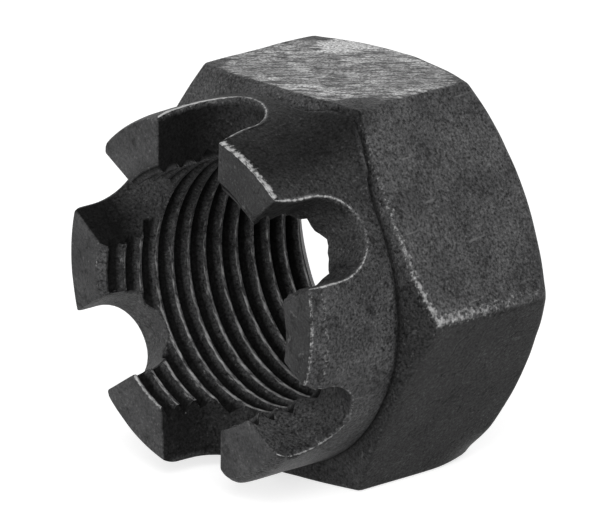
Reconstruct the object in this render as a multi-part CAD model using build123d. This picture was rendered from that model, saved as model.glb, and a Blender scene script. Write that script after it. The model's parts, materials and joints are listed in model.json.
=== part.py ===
from build123d import *
from math import asin, atan2, cos, degrees, hypot, radians, tan
import os

# Castle nut, M20 x 1.5, 28 mm across the flats, forged and turned in one piece.
# It lies on one flat. The thread axis runs along Y: the bearing face is on Y = 0
# and looks toward +Y, and the castle end looks toward -Y. +Z is up. Millimetres.
# A "height" below is a distance from the bearing face toward the castle end.

# ---- hexagon ---------------------------------------------------------------
across_flats = 28.0
hex_edge_radius = 0.6          # soft edge between two flats
total_height = 21.0            # bearing face to castle end

# ---- bearing end -----------------------------------------------------------
bearing_land_step = 0.7        # the bearing circle stands this far in from the flats
bearing_chamfer_deg = 33.0     # corner chamfer, measured from the bearing face
bearing_edge_radius = 0.4      # soft edge round the bearing circle

# ---- crown: the turned castle above the hexagon ------------------------------
crown_step = 0.75              # the crown stands this far in from the flats
crown_height = 7.7             # castle end down to the crown's foot
crown_end_chamfer = 0.85       # narrow chamfer round the castle end, along the axis
crown_end_draw = 0.25          # and how far that chamfer draws in
shoulder_deg = 28.0            # conical shoulder, measured from square to the axis
relief_width = 0.6             # groove turned in the corner of crown and shoulder
relief_depth = 0.2             # how far the groove cuts into the crown

# ---- slots for the cotter pin ------------------------------------------------
slot_count = 6
slot_width = 6.3
slot_depth = 6.0               # castle end to the lowest point of a slot's round floor
slot_edge_radius = 0.35        # softened rim of a slot, outside

# ---- thread ------------------------------------------------------------------
thread_major_d = 20.0
thread_pitch = 1.5
castle_sink_step = 0.1         # the castle end's countersink starts outside the thread
castle_sink_deg = 120.0        # included angle of that countersink
bearing_sink_d = 23.6          # mouth of the deep countersink in the bearing face
bearing_sink_deg = 90.0        # its included angle

# ---- how the cuts are made ---------------------------------------------------
overrun = 1.0                  # cutters run this far past what they cut
touch = 0.001                  # two places nearer than this are the same place

# ---- worked out from the sizes above -----------------------------------------
flat_r = across_flats / 2
corner_r = flat_r / cos(radians(30))
bearing_r = flat_r - bearing_land_step
crown_r = flat_r - crown_step
crown_foot_height = total_height - crown_height
slot_half = slot_width / 2
slot_pitch_deg = 360 / slot_count
minor_r = (thread_major_d - 1.0825 * thread_pitch) / 2      # ISO metric profile
castle_sink_r = thread_major_d / 2 + castle_sink_step
bearing_sink_r = bearing_sink_d / 2


def at(r, height):
    """A point of a turned section: radius r, at a height above the bearing face."""
    return (r, -height)


def turned(points):
    """The solid that a closed section leaves when it turns about the thread axis."""
    section = make_face(Polyline(*points, close=True))
    return revolve(Plane.XY * section, Axis.Y, 360)


def hexagonal_bar():
    """The bar before turning, one flat down, from the bearing face to the castle end."""
    section = RegularPolygon(radius=flat_r, side_count=6, major_radius=False)
    section = fillet(section.vertices(), hex_edge_radius)
    toward_castle = Plane(origin=(0, 0, 0), x_dir=(1, 0, 0), z_dir=(0, -1, 0))
    return extrude(toward_castle * section, total_height)


def outer_envelope():
    """What the lathe leaves: corner chamfer, shoulder, relief, crown and end chamfer."""
    outside = corner_r + overrun
    shoulder_slope = tan(radians(shoulder_deg))
    chamfer_height = (outside - bearing_r) * tan(radians(bearing_chamfer_deg))
    shoulder_height = crown_foot_height - (outside - crown_r) * shoulder_slope
    relief_reach = relief_width / 2
    envelope = turned([
        at(0, 0),
        at(bearing_r, 0),
        at(outside, chamfer_height),
        at(outside, shoulder_height),
        at(crown_r + relief_reach, crown_foot_height - relief_reach * shoulder_slope),
        at(crown_r - relief_depth, crown_foot_height),
        at(crown_r, crown_foot_height + relief_reach),
        at(crown_r, total_height - crown_end_chamfer),
        at(crown_r - crown_end_draw, total_height),
        at(0, total_height),
    ])
    bearing_rim = [
        edge for edge in envelope.edges().filter_by(GeomType.CIRCLE)
        if abs(edge.radius - bearing_r) < touch and abs(edge.center().Y) < touch
    ]
    return envelope.fillet(bearing_edge_radius, bearing_rim)


def threaded_bore():
    """The hole at the thread's minor diameter, with a countersink at each end."""
    castle_slope = tan(radians(castle_sink_deg / 2))
    bearing_slope = tan(radians(bearing_sink_deg / 2))
    castle_sink_depth = (castle_sink_r - minor_r) / castle_slope
    bearing_sink_depth = (bearing_sink_r - minor_r) / bearing_slope
    return turned([
        at(0, -overrun),
        at(bearing_sink_r + overrun * bearing_slope, -overrun),
        at(minor_r, bearing_sink_depth),
        at(minor_r, total_height - castle_sink_depth),
        at(castle_sink_r + overrun * castle_slope, total_height + overrun),
        at(0, total_height + overrun),
    ])


def slot_cutter():
    """One round-bottomed slot, open at the castle end, from the axis out over a flat."""
    floor_height = total_height - slot_depth
    spring_height = floor_height + slot_half            # where the round floor starts
    open_height = total_height + overrun
    walls = Polyline(
        at(-slot_half, spring_height),
        at(-slot_half, open_height),
        at(slot_half, open_height),
        at(slot_half, spring_height),
    )
    floor = ThreePointArc(
        at(slot_half, spring_height),
        at(0, floor_height),
        at(-slot_half, spring_height),
    )
    return extrude(make_face([walls, floor]), corner_r + overrun, dir=(0, 0, 1))


def is_slot_rim(edge):
    """Whether an edge is where a slot's wall or floor breaks out of the crown."""
    spots = [edge.position_at(t) for t in (0.02, 0.35, 0.65, 0.98)]
    on_crown = all(abs(hypot(p.X, p.Z) - crown_r) < touch for p in spots)
    level = max(p.Y for p in spots) - min(p.Y for p in spots) < touch
    turns = [(degrees(atan2(p.Z, p.X)) - 90) % slot_pitch_deg for p in spots]
    from_slot = max(min(turn, slot_pitch_deg - turn) for turn in turns)
    half_slot_deg = degrees(asin(slot_half / crown_r))
    return on_crown and not level and from_slot < half_slot_deg + 1


nut = (hexagonal_bar() & outer_envelope()) - threaded_bore()
cutter = slot_cutter()
for number in range(slot_count):
    nut -= cutter.rotate(Axis.Y, number * slot_pitch_deg)
nut = nut.solids()[0]

slot_rims = [edge for edge in nut.edges() if is_slot_rim(edge)]
nut = nut.fillet(slot_edge_radius, slot_rims).solids()[0]
assert nut.is_valid, "the nut is not a valid solid"

box = nut.bounding_box()
print("low corner ", [round(v, 3) for v in box.min])
print("high corner", [round(v, 3) for v in box.max])
print("slot rim edges", len(slot_rims), " volume cm3", round(nut.volume / 1000, 4))

os.makedirs("parts", exist_ok=True)
export_step(nut, "parts/castle_nut.step")
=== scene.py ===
import json
from math import cos, pi, radians, sin, tan

import bpy
import numpy as np
from bpy.props import FloatProperty, FloatVectorProperty, IntProperty, PointerProperty
from bpy.types import Operator, Panel, PropertyGroup
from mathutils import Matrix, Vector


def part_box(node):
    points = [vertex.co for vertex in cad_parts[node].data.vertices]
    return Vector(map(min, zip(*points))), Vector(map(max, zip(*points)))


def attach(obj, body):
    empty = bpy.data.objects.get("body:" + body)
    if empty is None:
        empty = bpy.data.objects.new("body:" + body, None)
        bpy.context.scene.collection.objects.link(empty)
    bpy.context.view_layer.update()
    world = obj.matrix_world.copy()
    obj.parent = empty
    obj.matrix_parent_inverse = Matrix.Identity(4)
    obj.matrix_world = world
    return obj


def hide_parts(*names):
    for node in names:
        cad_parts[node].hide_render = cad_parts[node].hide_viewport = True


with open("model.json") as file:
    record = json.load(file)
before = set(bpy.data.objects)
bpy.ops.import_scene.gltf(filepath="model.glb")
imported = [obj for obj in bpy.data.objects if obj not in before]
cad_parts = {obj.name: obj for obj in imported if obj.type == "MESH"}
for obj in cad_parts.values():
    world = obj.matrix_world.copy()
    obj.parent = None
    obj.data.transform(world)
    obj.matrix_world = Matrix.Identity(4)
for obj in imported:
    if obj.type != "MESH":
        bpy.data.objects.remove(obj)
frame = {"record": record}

bl_info = {
    "name": "Black oxide castle nut",
    "version": (1, 0, 0),
    "blender": (4, 5, 0),
    "location": "View3D > Sidebar > Castle nut",
    "description": "A forged castle nut with its thread, its black oxide finish and a pale stage",
    "category": "Add Mesh",
}

MM = 0.001
NODE = "castle_nut"
LOW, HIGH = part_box(NODE)
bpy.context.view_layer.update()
THREAD = next(mount for mount in frame["record"]["mounts"] if mount["name"] == "thread")
PRONGS = 6
SECTOR = 2 * pi / PRONGS
WHITE = (1, 1, 1, 1)


# ---- sizes and colours -------------------------------------------------------------

def length(name, description, default):
    return FloatProperty(name=name, description=description, default=default, unit="LENGTH", precision=5)


def lengths(name, description, millimetres):
    return FloatVectorProperty(name=name, description=description, default=[v * MM for v in millimetres],
                               size=len(millimetres), unit="LENGTH", precision=5)


def shares(name, description, values):
    return FloatVectorProperty(name=name, description=description, default=values, size=len(values),
                               min=0, max=1)


def powers(name, description, values):
    return FloatVectorProperty(name=name, description=description, default=values, size=len(values), min=0)


def turn(name, description, degrees):
    return FloatProperty(name=name, description=description, default=radians(degrees), subtype="ANGLE")


def share(name, description, default):
    return FloatProperty(name=name, description=description, default=default, subtype="FACTOR", min=0, max=1)


def colour(name, description, default):
    return FloatVectorProperty(name=name, description=description, default=default, subtype="COLOR",
                               min=0, max=1)


def grey(name, description, value):
    return colour(name, description, (value, value, value))


def amount(name, description, default):
    return FloatProperty(name=name, description=description, default=default, min=0)


def position(name, description, metres):
    return FloatVectorProperty(name=name, description=description, default=metres, subtype="TRANSLATION")


def rotation(name, description, degrees):
    return FloatVectorProperty(name=name, description=description, default=[radians(v) for v in degrees],
                               subtype="EULER")


class NutSizes(PropertyGroup):
    across_flats: length("Across flats", "Spanner size", HIGH.z - LOW.z)
    total_height: length("Height", "Bearing face to castle end", HIGH.y - LOW.y)
    bearing_land_step: length("Bearing step", "How far the bearing circle stands in from the flats", 0.7 * MM)
    bearing_chamfer: turn("Bearing chamfer", "Corner chamfer at the bearing end", 33)
    bearing_sink_edge: length("Countersink edge", "Softening of the bearing countersink's mouth", 0.12 * MM)
    bearing_edge: length("Bearing edge", "Softening of the bearing circle", 0.4 * MM)
    chamfer_edge: length("Chamfer edge", "Softening where the bearing chamfer meets the flats", 0.5 * MM)
    shoulder_edge: length("Shoulder edge", "Softening where the shoulder meets the flats", 0.3 * MM)
    crown_step: length("Crown step", "How far the crown stands in from the flats", 0.75 * MM)
    crown_height: length("Crown height", "Castle end down to the crown's foot", 7.95 * MM)
    shoulder: turn("Shoulder", "Slope of the shoulder", 28)
    relief_width: length("Relief width", "Groove at the foot of the crown", 0.6 * MM)
    relief_depth: length("Relief depth", "How far that groove cuts in", 0.15 * MM)
    relief_mouth: length("Relief mouth", "Softening of that groove's mouth", 0.08 * MM)
    relief_floor: length("Relief floor", "Softening of its floor", 0.06 * MM)
    slot_width: length("Slot width", "Across a cotter pin slot", 6.3 * MM)
    slot_depth: length("Slot depth", "Castle end to the slot's floor", 6.0 * MM)
    slot_rim: length("Slot rim", "Softening of the slots' outer rims", 0.35 * MM)
    prong_corner: length("Prong corner", "Radius where a slot wall meets the castle end", 0.18 * MM)
    prong_edge: length("Prong edge", "Softening of the prongs' outer end edges", 0.2 * MM)
    inner_edge: length("Inner edge", "Broken edge between a prong and the thread", 0.10 * MM)
    thread_major: length("Thread", "Major diameter of the thread", 20 * MM)
    thread_minor: length("Thread bore", "Minor diameter of the thread", 2 * THREAD["dims"]["r_mm"] * MM)
    thread_pitch: length("Thread pitch", "Rise of the thread in one turn", 1.5 * MM)
    thread_start: turn("Thread start", "Turns the thread about its axis", 70)
    castle_sink: turn("Castle countersink angle", "Included angle", 120)
    bearing_sink_mouth: length("Bearing countersink", "Diameter of its mouth", 23.6 * MM)
    bearing_sink: turn("Bearing countersink angle", "Included angle", 90)


class ForgingSizes(PropertyGroup):
    """What makes this nut uneven. Prongs, slots and flats are counted about the axis from +X
    toward +Z; a slot has two walls, the one nearer +X in that count first."""
    floor_outside: lengths("Slot floors outside", "How much higher each slot's floor lies at its outer end",
                           (-0.2, -0.1, 0.8, 0.6, 0.2, 1.2))
    floor_inside: lengths("Slot floors inside", "How much higher each slot's floor lies at the bore",
                          (0.25, -0.1, 0.9, 1.3, 0.1, 0.7))
    wall_outside: lengths("Slot walls outside", "How far each slot wall stands back at its outer end",
                          (-0.25, -0.1, 0.2, 0, 0, -0.3, -0.2, -0.2, -0.2, -0.15, 0.1, 0))
    wall_inside: lengths("Slot walls inside", "How far each slot wall stands back at the bore",
                         (-0.65, -0.15, 0, 0, 0, 0, 0, -0.3, 0, 0, 0, 0))
    flare_outside: lengths("End flare outside", "How far each slot wall is knocked back at the castle end",
                           (0, 0.55, 0, 0, 0, 0, 0, 0, 0, 0, 0, 0))
    flare_inside: lengths("End flare inside", "How far each slot wall is knocked back there at the bore",
                          (0.8, 0.1, 0, 0, 0, 0, 0, 0, 0, 0, 0, 0.2))
    flare_reach: length("Flare reach", "How far down from the castle end those flares reach", 2.5 * MM)
    wall_round: lengths("Slot wall rounding", "How round each prong is worn toward a slot",
                        (0.25, 0.25, 0.2, 0.12, 1.1, 0.3, 0.35, 0.8, 0.15, 1.8, 0.35, 0.25))
    end_draw: lengths("End draw", "How far the crown draws in at each slot wall's end",
                      (0, 0.05, 0.45, 0.2, 0.35, 0.5, 0.7, 0.65, 0.5, 0.8, 0.9, 0.8))
    end_reach: lengths("End reach", "How far down each prong that draw starts",
                       (1.2, 2.8, 1.5, 1.0, 1.5, 1.4))
    end_bend: powers("End bend", "Power with which each prong's draw grows, 1 for a straight taper",
                     (1, 1.8, 2, 2, 2, 3))
    end_lower: lengths("End lower", "How much lower each prong's end lies", (0, 0, 0.1, 0.2, 0.1, 0.1))
    sink_mouth: lengths("Castle countersink", "How far it opens outside the bore at each prong",
                        (1.25, 1.0, 0.6, 1.5, 0.4, 0.4))
    hexagon_edges: lengths("Hexagon edges", "Radius of each edge between two flats",
                           (0.9, 0.5, 0.4, 1.0, 1.0, 0.45))
    shoulder_rise: lengths("Shoulder rise", "How much higher the shoulder's edge lies at each edge and flat",
                           (0.43, 0.05, 0.3, 0.05, 0.85, 0.85, 0.75, 0.55, 0.7, 1.0, 0.8, 0.3))
    foot_rise: lengths("Foot rise", "How much higher the crown's foot lies over each edge and flat",
                       (0, 0.05, 0.05, 0.45, 0.6, 0.7, 0.5, 0.4, 0.1, 0, -0.05, -0.1))
    shoulder_knocks: lengths("Shoulder knocks", "How far each hexagon edge is knocked in at the shoulder",
                             (0.06, 0.45, 0.08, 0.2, 0.2, 0.05))
    bearing_knocks: lengths("Bearing knocks", "How far each hexagon edge is knocked in at the bearing end",
                            (0.08, 0.1, 0.2, 0.2, 0.3, 1.1))
    knock_reach: length("Knock reach", "How far along the edge a knock runs", 5.5 * MM)
    knock_spread: turn("Knock spread", "How far it spreads to each side", 5.5)
    crown_bulge: lengths("Crown bulge", "How far the crown's lower part stands out over each edge and flat",
                         (0, 0, 0.05, 0.25, 0.12, 0, 0, 0, 0, 0, 0, 0))
    bulge_fade: length("Bulge fade", "Length below the castle end over which the bulge dies away", 3 * MM)
    web_reach: length("Web reach", "How far a web of metal spreads the crown's foot", 2.5 * MM)
    web_rise: length("Web rise", "How far that web climbs up the crown", 4.0 * MM)
    web_place: turn("Web place", "Where it stands", 58)
    web_spread: turn("Web spread", "How far it spreads to each side", 12)
    burr: lengths("Burr", "Unevenness of each slot's inner edge", (0.14, 0.04, 0.04, 0.04, 0.04, 0.04))
    swell: length("Swell", "Height of the broad unevenness of the forging", 0.05 * MM)
    swell_size: length("Swell size", "Distance between its hills", 6 * MM)
    hammer: length("Dents", "Height of the finer unevenness", 0.025 * MM)
    hammer_size: length("Dent size", "Distance between its hills", 1.6 * MM)
    seed: IntProperty(name="Seed", description="Which unevenness", default=7)


class WearAndPaintedLight(PropertyGroup):
    """Where the skin is rubbed through, with one flat also lightened as a painted highlight, and where
    painted shade darkens it, from 0 to 1, counted as in the forging sizes.
    """
    slot_rims: powers("Slot rims", "Each slot wall's outer rim, over 1 for a broad one",
                      (1.0, 1.0, 0.8, 1.8, 0.4, 0.3, 0.35, 0.4, 0.4, 0.4, 0.8, 0.5))
    floor_rims: shares("Floor rims", "The outer rim at the middle of each slot's floor",
                       (0.3, 0.7, 0.4, 0.4, 0.4, 0.5))
    prong_ends: shares("Prong ends", "Each prong's outer end edge", (0.65, 0.9, 0.5, 0.5, 0.45, 0.4))
    end_bands: lengths("End bands", "How far the wear of each end edge reaches down the prong's outside",
                       (0.3, 0.5, 0.15, 0.1, 0.1, 0.15))
    inner_edges: shares("Inner edges", "Each prong's edge at the thread", (0.3, 0.5, 0.4, 0.4, 0.9, 0.5))
    hexagon_edges: shares("Hexagon edges", "Each edge between two flats", (0.75, 0.15, 0.1, 0.2, 0.1, 0.0))
    shoulder_edges: shares("Shoulder edges", "The shoulder's edge at both ends of each flat",
                           (0.8, 0.25, 0.15, 0.15, 0.2, 0.25, 0.2, 0.2, 0.2, 0.2, 0.1, 0.2))
    end_tapers: shares("End tapers", "Where each prong's taper starts", (0.65, 0, 0, 0, 0, 0))
    # rubbing on the flats, which also paints the top flat lighter as a highlight
    flats: shares("Flats", "Each flat", (0.0, 1.0, 0.1, 0.0, 0.0, 0.0))
    # painted shade: darkens the crown more on some sides than on others
    crown_painted_shade: shares("Crown soot", "How dark the crown is over each edge and flat",
                       (0.0, 0.35, 0.9, 0.6, 0.2, 0.1, 0, 0, 0, 0, 0.1, 0.1))
    # painted shade: darkens the shoulder more on some sides than on others
    shoulder_painted_shade: shares("Shoulder soot", "How dark the shoulder is over each edge and flat",
                          (0.65, 0.3, 0.1, 0.05, 0.1, 0.1, 0, 0, 0, 0, 0.4, 0.6))
    # painted shade: darkens the slots' walls and floors, which lie in shade
    walls_painted_shade: shares("Sooty walls", "How black each slot wall is",
                        (0.35, 0.85, 0.8, 1.0, 0.1, 1.0, 0.2, 0.4, 0.9, 0.6, 0.3, 0.5))
    floors_painted_shade: shares("Sooty floors", "How black each slot's floor is", (0.45, 0.6, 0.0, 0.2, 0.6, 0.3))
    # painted shade: darkens the castle countersink at each prong
    sink_painted_shade: shares("Countersink soot", "How dark the countersink is at each prong",
                      (0.2, 0.9, 0.6, 0.05, 0.4, 0.3))
    # painted shade: darkens some prongs' ends
    face_painted_shade: shares("Face soot", "How dark each prong's end is", (0.4, 0.45, 0.1, 0.1, 0.0, 0.0))
    # painted shade: darkens the flats that face down
    flat_painted_shade: shares("Flat soot", "How dark each flat is", (0.08, 0.0, 0.0, 0.0, 0.3, 0.7))
    # painted shade: darkens a knocked corner at the shoulder that faces up toward the light
    knock_painted_shade: shares("Knock soot", "How dark each knocked corner is at the shoulder",
                       (0.0, 0.75, 0.1, 0.0, 0.0, 0.0))
    # painted shade: darkens the crease at the crown's foot
    crease_painted_shade: shares("Crease soot", "How dark the crown's foot is over each edge and flat",
                        (0.9, 0.9, 0.9, 0.35, 0.2, 0.3, 0.3, 0.3, 0.3, 0.5, 0.9, 0.9))


class OxideFinish(PropertyGroup):
    oxide: colour("Oxide", "Black oxide skin", (0.044, 0.044, 0.045))
    oxide_dull: colour("Dull oxide", "Thin, dusty parts of the skin", (0.076, 0.076, 0.077))
    # rubbed skin, light enough to stand in for the top flat's highlight too
    rubbed_and_highlit: grey("Rubbed oxide", "Skin that has rubbed thin on a flat", 0.47)
    bare: grey("Bare steel", "Steel where the skin is worn off", 0.55)
    # painted shade: this near-black colour is laid where shade falls, in slots, grooves, creases and on
    # darker sides
    painted_shade: grey("Soot", "Oil and dirt in recesses", 0.005)
    speck: grey("Specks", "Bright grains in the skin", 0.15)
    scratch: grey("Scratches", "Fine scratches in the skin", 0.16)
    bare_place: position("Bare patch", "Middle of the bare patch on a flat", (-4.3 * MM, -2.4 * MM, HIGH.z))
    bare_size: length("Bare patch size", "Its reach", 3.2 * MM)
    forged_contrast: amount("Forged grain", "Contrast of the grain on forged faces", 2.6)
    turned_contrast: amount("Turned grain", "Contrast of the grain on the prongs' turned ends", 1.2)
    relief: length("Relief", "Height of the grain", 0.05 * MM)
    roughness: share("Roughness", "Of the oxide skin", 0.5)
    # roughness under the painted shade
    painted_shade_roughness: share("Soot roughness", "Of the soot", 0.9)
    worn_roughness: share("Worn roughness", "Of the rubbed edges", 0.36)
    metallic: share("Metallic", "How much the skin mirrors as metal does", 0.05)
    gloss: share("Gloss", "Mirroring of the skin", 0.12)


class StageSettings(PropertyGroup):
    ground: grey("Ground", "Floor and backdrop", 0.62)
    ground_lift: amount("Ground lift", "Light that brings the floor up to white", 0.72)
    floor_reach: length("Floor reach", "From the middle of the floor to its sides", 0.5)
    lamp_place: position("Lamp", "Where the lamp above hangs", (0.13, -0.13, 0.12))
    lamp_turn: rotation("Lamp's turn", "How it is turned", (58, 0, 45))
    lamp_size: length("Lamp size", "Its side", 0.12)
    key_strength: amount("Key lamp", "Its watts", 0.26)
    fill_strength: amount("Fill", "Strength of the surroundings", 0.55)
    lens: length("Lens", "Focal length", 533.9 * MM)
    eye: position("Eye", "Where the camera stands", (447.57 * MM, -404.24 * MM, 189.49 * MM))
    gaze: rotation("Gaze", "How the camera is turned", (72.468, 0.425, 48.531))


# ---- form: places about the thread axis --------------------------------------------

def prong_at(angle):
    """Number of the prong, and of the hexagon edge, that stands nearest to an angle."""
    return np.round(angle / SECTOR).astype(int) % PRONGS


def flat_at(angle):
    """Number of the slot, and of the flat, that holds an angle."""
    return np.floor(angle / SECTOR).astype(int) % PRONGS


def from_edge(angle):
    """An angle counted from the nearest hexagon edge."""
    return (angle + SECTOR / 2) % SECTOR - SECTOR / 2


def below_flat(s, angle, radius):
    """Depth of a point under its flat: half the width across the flats, less its radius times
    the cosine of its angle from the flat's middle."""
    return s.across_flats / 2 - radius * np.cos(angle % SECTOR - SECTOR / 2)


def round_about(values, angle):
    """Eases from each to the next of the values that stand evenly round the axis."""
    values = np.array(values)
    place = angle / (2 * pi) * len(values)
    first = np.floor(place).astype(int)
    part = smooth_step(place - first)
    here, there = values[first % len(values)], values[(first + 1) % len(values)]
    return here + (there - here) * part


def smooth_step(part):
    """Eases from 0 to 1: three times the square less twice the cube."""
    return part * part * (3 - 2 * part)


def fade(distance, reach):
    """1 at no distance, and falls in a straight line to 0 at the reach."""
    return np.clip(1 - distance / reach, 0, 1)


def hill(value, middle, width):
    """A smooth hill of height 1: e to the minus ((value less middle) / width) squared."""
    return np.exp(-((value - middle) / width) ** 2)


def rounding(edge, distance):
    """How far a surface has dropped at a distance from a rounded edge: edge less the root of
    edge squared less (edge less distance) squared."""
    near = np.clip(edge - distance, 0, edge)
    return edge - np.sqrt(np.maximum(edge ** 2 - near ** 2, 0))


# ---- form: the outline of the castle -----------------------------------------------

# how many columns stand on half a slot's floor, on its wall, on the corner and on half a prong
FLOOR_COLUMNS, WALL_COLUMNS, CORNER_COLUMNS, TOP_COLUMNS = 10, 14, 3, 11
# over this length below a prong's corner, the slot's rim narrows to this share of that corner
TIP_REACH, TIP_SHARE = 1 * MM, 0.75


def half_sector(s):
    """The outline from the middle of a slot up its round floor, its wall and the prong's corner
    to the middle of the prong, as columns. Each has its place across the slot (x), how far it
    is up the wall (up, from 0 to 1) and above or below that place (over), the direction in the
    surface that leads from the slot into the metal (nx, nh), whether it is on the prong's end
    (level), and two shares of the way from the slot's wall to the prong's middle: at the rim,
    and lower down."""
    half, corner = s.slot_width / 2, s.prong_corner
    beta = np.linspace(0, pi / 2, FLOOR_COLUMNS + 1)
    wall = np.linspace(0, 1, WALL_COLUMNS + 1)[1:]
    gamma = np.linspace(0, pi / 2, CORNER_COLUMNS + 1)[1:]
    top = np.linspace(0, 1, TOP_COLUMNS + 1)[1:]
    metal = WALL_COLUMNS + CORNER_COLUMNS + TOP_COLUMNS
    zero = np.zeros_like
    parts = {
        "x": (half * np.sin(beta), zero(wall) + half, half + corner * (1 - np.cos(gamma)),
              zero(top) + half + corner),
        "up": (zero(beta), wall, zero(gamma) + 1, zero(top) + 1),
        "over": (-half * np.cos(beta), zero(wall), corner * np.sin(gamma), zero(top) + corner),
        "nx": (np.sin(beta), zero(wall) + 1, np.cos(gamma), zero(top)),
        "nh": (-np.cos(beta), zero(wall), -np.sin(gamma), zero(top) - 1),
        "level": (zero(beta), zero(wall), np.sin(gamma), zero(top) + 1),
        "at_rim": (zero(beta), zero(wall), zero(gamma), top),
        "lower": (zero(beta), np.arange(1, metal + 1) / metal),
    }
    return {name: np.concatenate(part) for name, part in parts.items()}


def castle_columns(s, f):
    """The castellated outline: the half sector there and back, six times round, and the first
    column once more. Each column then gets its height and its place across the slot, both at
    the outside and at the bore, with what the forging sizes add for its slot, wall and prong."""
    sector = half_sector(s)
    last = len(sector["x"]) - 1
    there, back = np.arange(last + 1), np.arange(last - 1, 0, -1)
    order = np.append(np.tile(np.concatenate([there, back]), PRONGS), 0)
    side = np.concatenate([np.ones_like(there), -np.ones_like(back)])
    slot = np.append(np.repeat(np.arange(PRONGS), 2 * last) + np.tile(side < 0, PRONGS), PRONGS)
    c = {name: values[order] for name, values in sector.items()}
    c["side"] = np.append(np.tile(side, PRONGS), 1)
    c["slot"] = slot % PRONGS
    c["slot_angle"] = SECTOR / 2 + SECTOR * slot
    c["half"] = s.slot_width / 2
    c["to_wall"] = np.minimum(c["x"] / c["half"], 1)
    c["on_end"] = c["level"] > 0.5
    c["top"] = s.total_height - np.array(f.end_lower)[(c["slot"] + (c["side"] > 0)) % PRONGS]
    c["out"], c["spring"] = outline_height(s, c, f.floor_outside)
    c["in"], _ = outline_height(s, c, f.floor_inside)
    c["half_out"] = c["half"] + per_side(c, f.wall_outside)
    c["round"] = per_side(c, f.wall_round)
    c["draw"] = per_side(c, f.end_draw)

    flare = fade(c["top"] - c["out"], f.flare_reach) ** 2
    jag = np.random.default_rng(f.seed).uniform(-1, 1, len(order) - 1)
    jag = np.append(jag, jag[0]) * np.array(f.burr)[c["slot"]] * ~c["on_end"]
    c["x_out"] = c["x"] + per_side(c, f.wall_outside) * c["to_wall"] + flare * per_side(c, f.flare_outside)
    c["x_in"] = c["x"] + per_side(c, f.wall_inside) * c["to_wall"] + flare * per_side(c, f.flare_inside)
    c["x_in"] = c["x_in"] + jag * c["nx"]
    c["in"] = c["in"] + jag * c["nh"]
    near_end = fade(c["top"] - s.prong_corner - c["out"], TIP_REACH)
    c["inset"] = s.slot_rim + (TIP_SHARE * s.prong_corner - s.slot_rim) * near_end
    return c


def outline_height(s, c, rise):
    """Height of each column, with each slot's floor higher by its rise, and the height where
    the round floor ends in the walls. Between there and the prong's corner, walls are straight."""
    spring = s.total_height - s.slot_depth + np.array(rise)[c["slot"]] + c["half"]
    corner = c["top"] - s.prong_corner
    return spring + (corner - spring) * c["up"] + c["over"], spring


def per_side(c, values):
    """A value for each column from two values a slot: it eases to the slot's mean over the
    round floor, and to the prong's mean at the middle of the prong."""
    values = np.array(values)
    index = 2 * c["slot"] + (c["side"] > 0)
    mine, over_slot, over_prong = values[index], values[index ^ 1], values[(index + c["side"]) % len(values)]
    return mine + (over_slot - mine) / 2 * (1 - c["to_wall"]) + (over_prong - mine) / 2 * c["at_rim"]


def angle_of(c, x, radius, way):
    """The angle about the thread axis of a point x across its slot at a radius, moved a
    share of the way on toward the middle of the prong."""
    lean = np.arcsin(np.clip(x / radius, -1, 1))
    return c["slot_angle"] + c["side"] * (lean + way * (SECTOR / 2 - lean))


# ---- form: the bearing end, the hexagon and its shoulder ------------------------------

# the bore's rows meet the bearing end's on its countersink, this far outside the thread
SEAM_STEP = 0.2 * MM
# the rounding at a corner of a path takes no more than this share of either run
RUN_SHARE = 0.45
# what a web of metal at the crown's foot leaves of the shoulder, and the least rise of the shoulder
SHOULDER_LEFT, LEAST_RISE = 0.12 * MM, 0.1 * MM
# a knock dies away over this length outside the circle that the flats touch
KNOCK_FADE = 1 * MM


def crown_radius(s):
    """Radius of the turned crown."""
    return s.across_flats / 2 - s.crown_step


def seam(s):
    """Radius and height on the bearing countersink where the bore's rows end."""
    radius = s.thread_major / 2 + SEAM_STEP
    return radius, (s.bearing_sink_mouth / 2 - radius) / tan(s.bearing_sink / 2)


def hexagon_radius(s, f, angle):
    """Distance from the axis to a hexagon with rounded corners: flat / cos(angle from the
    flat's middle), and near a corner the far side of the circle that rounds it."""
    flat = s.across_flats / 2
    edge = np.array(f.hexagon_edges)[prong_at(angle)]
    corner = from_edge(angle)
    straight = flat / np.cos(SECTOR / 2 - np.abs(corner))
    middle = (flat - edge) / cos(SECTOR / 2)
    touching = np.arctan2(edge * sin(SECTOR / 2), middle + edge * cos(SECTOR / 2))
    rounded = middle * np.cos(corner) + np.sqrt(np.maximum(edge ** 2 - (middle * np.sin(corner)) ** 2, 0))
    return np.where(np.abs(corner) < touching, rounded, straight)


def web_at_foot(f, angle):
    """How far the web of metal stands out at the crown's foot: its reach times a smooth hill
    about its place."""
    away = (angle - f.web_place + pi) % (2 * pi) - pi
    return f.web_reach * hill(away, 0, f.web_spread)


def knocked(s, f, angle, radius, height):
    """How far a hexagon edge is knocked in: a smooth hill about the edge, that grows by a
    square toward the shoulder and toward the bearing end, and dies away toward the flats."""
    edge = prong_at(angle)
    to_shoulder = s.total_height - s.crown_height - height
    depth = np.array(f.shoulder_knocks)[edge] * fade(to_shoulder, f.knock_reach) ** 2
    depth = depth + np.array(f.bearing_knocks)[edge] * fade(height, f.knock_reach) ** 2
    outside = np.clip((radius - s.across_flats / 2) / KNOCK_FADE, 0, 1)
    return depth * outside * hill(from_edge(angle), 0, f.knock_spread)


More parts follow.
